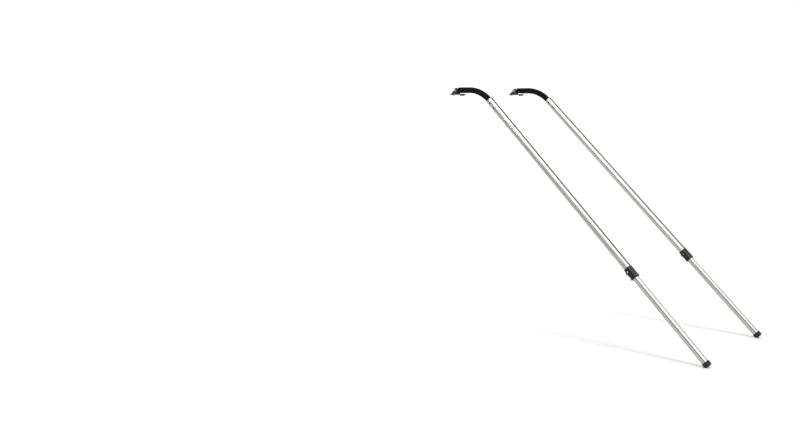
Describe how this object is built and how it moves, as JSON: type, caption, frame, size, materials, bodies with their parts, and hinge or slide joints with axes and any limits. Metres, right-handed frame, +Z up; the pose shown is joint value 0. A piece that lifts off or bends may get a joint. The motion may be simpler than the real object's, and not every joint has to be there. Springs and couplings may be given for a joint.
{
  "type": "kayak lifter",
  "caption": "Pair of leaning telescoping aluminium arms with padded hooks that clamp on roof crossbars, cam-lever locks and rubber feet, for sliding a kayak up onto a roof.",
  "frame": {"origin": "centre of the front arm's seat on its crossbar", "axes": "+X outward from the vehicle, down the arms; +Y toward the vehicle's rear, from the front arm to the rear arm; +Z up"},
  "size_m": [2.3243, 1.1334, 1.9889],
  "materials": {
    "aluminium_tube": "bright anodised, drawn lengthwise",
    "foam": "matt black closed-cell foam",
    "strip_rubber": "smooth black strip",
    "foot_rubber": "matt black moulded rubber",
    "rubber": "matt black sheet rubber",
    "black_plastic": "fine-textured black moulding",
    "nylon": "plain black moulding",
    "bracket_coat": "black powder coat, bright along its edges",
    "zinc_steel": "zinc plated",
    "dark_steel": "blackened"
  },
  "bodies": {
    "mounted": {"rack_brackets": "bracket_coat", "seat_pads": "rubber", "channel_keys": "nylon", "key_screws": "zinc_steel", "bracket_bolts": "zinc_steel", "bracket_nuts": "zinc_steel", "hook_tubes": "aluminium_tube", "hook_end_plugs": "nylon", "foam_sleeves": "foam", "reducer_bushes": "nylon", "joint_bolts": "dark_steel", "joint_nuts": "dark_steel", "lock_collars": "black_plastic", "collar_screws": "dark_steel", "lever_pins": "zinc_steel", "front_upper_tube": "aluminium_tube", "front_wear_strip": "strip_rubber", "rear_upper_tube": "aluminium_tube", "rear_wear_strip": "strip_rubber"},
    "front_lower_arm": {"front_lower_tube": "aluminium_tube", "front_guide_plug": "nylon", "front_foot_plug": "nylon", "front_rubber_foot": "foot_rubber"},
    "front_lever": {"front_lock_lever": "black_plastic"},
    "front_shoe": {"front_brake_shoe": "nylon"},
    "front_knob": {"front_clamp_knob": "black_plastic"},
    "front_hold_down": {"front_t_bolt": "zinc_steel"},
    "rear_lower_arm": {"rear_lower_tube": "aluminium_tube", "rear_guide_plug": "nylon", "rear_foot_plug": "nylon", "rear_rubber_foot": "foot_rubber"},
    "rear_lever": {"rear_lock_lever": "black_plastic"},
    "rear_shoe": {"rear_brake_shoe": "nylon"},
    "rear_knob": {"rear_clamp_knob": "black_plastic"},
    "rear_hold_down": {"rear_t_bolt": "zinc_steel"}
  },
  "joints": [
    {"name": "front_telescope", "type": "slide", "parent": "mounted", "child": "front_lower_arm", "axis": [0.7153, -0.025, -0.6984], "range_m": [-0.76, 0.4]},
    {"name": "front_lever_open", "type": "hinge", "parent": "mounted", "child": "front_lever", "pos_m": [1.59498, -0.08699, -1.31832], "axis": [-0.6178, 0.4445, -0.6486], "range_deg": [0, 110]},
    {"name": "front_shoe_release", "type": "slide", "parent": "mounted", "child": "front_shoe", "axis": [-0.3266, -0.8955, -0.3025], "range_m": [0, 0.00105]},
    {"name": "front_knob_turn", "type": "hinge", "parent": "mounted", "child": "front_knob", "pos_m": [-0.05956, 0.00208, 0.012], "axis": [0, 0, 1], "range_deg": [0, 1444]},
    {"name": "front_hold_down_drop", "type": "slide", "parent": "mounted", "child": "front_hold_down", "axis": [0, 0, -1], "range_m": [0, 0.005]},
    {"name": "rear_telescope", "type": "slide", "parent": "mounted", "child": "rear_lower_arm", "axis": [0.7153, 0.025, -0.6984], "range_m": [-0.76, 0.4]},
    {"name": "rear_lever_open", "type": "hinge", "parent": "mounted", "child": "rear_lever", "pos_m": [1.59716, 0.94249, -1.31832], "axis": [-0.6473, 0.4003, -0.6486], "range_deg": [0, 110]},
    {"name": "rear_shoe_release", "type": "slide", "parent": "mounted", "child": "rear_shoe", "axis": [-0.2634, -0.9161, -0.3025], "range_m": [0, 0.00105]},
    {"name": "rear_knob_turn", "type": "hinge", "parent": "mounted", "child": "rear_knob", "pos_m": [-0.05956, 0.91592, 0.012], "axis": [0, 0, 1], "range_deg": [0, 1444]},
    {"name": "rear_hold_down_drop", "type": "slide", "parent": "mounted", "child": "rear_hold_down", "axis": [0, 0, -1], "range_m": [0, 0.005]}
  ],
  "couplings": [
    {"joint": "front_shoe_release", "follows": "front_lever_open", "m_per_rad": 0.00052087},
    {"joint": "front_knob_turn", "follows": "front_hold_down_drop", "rad_per_m": 5026.5},
    {"joint": "rear_shoe_release", "follows": "rear_lever_open", "m_per_rad": 0.00052087},
    {"joint": "rear_knob_turn", "follows": "rear_hold_down_drop", "rad_per_m": 5026.5}
  ]
}
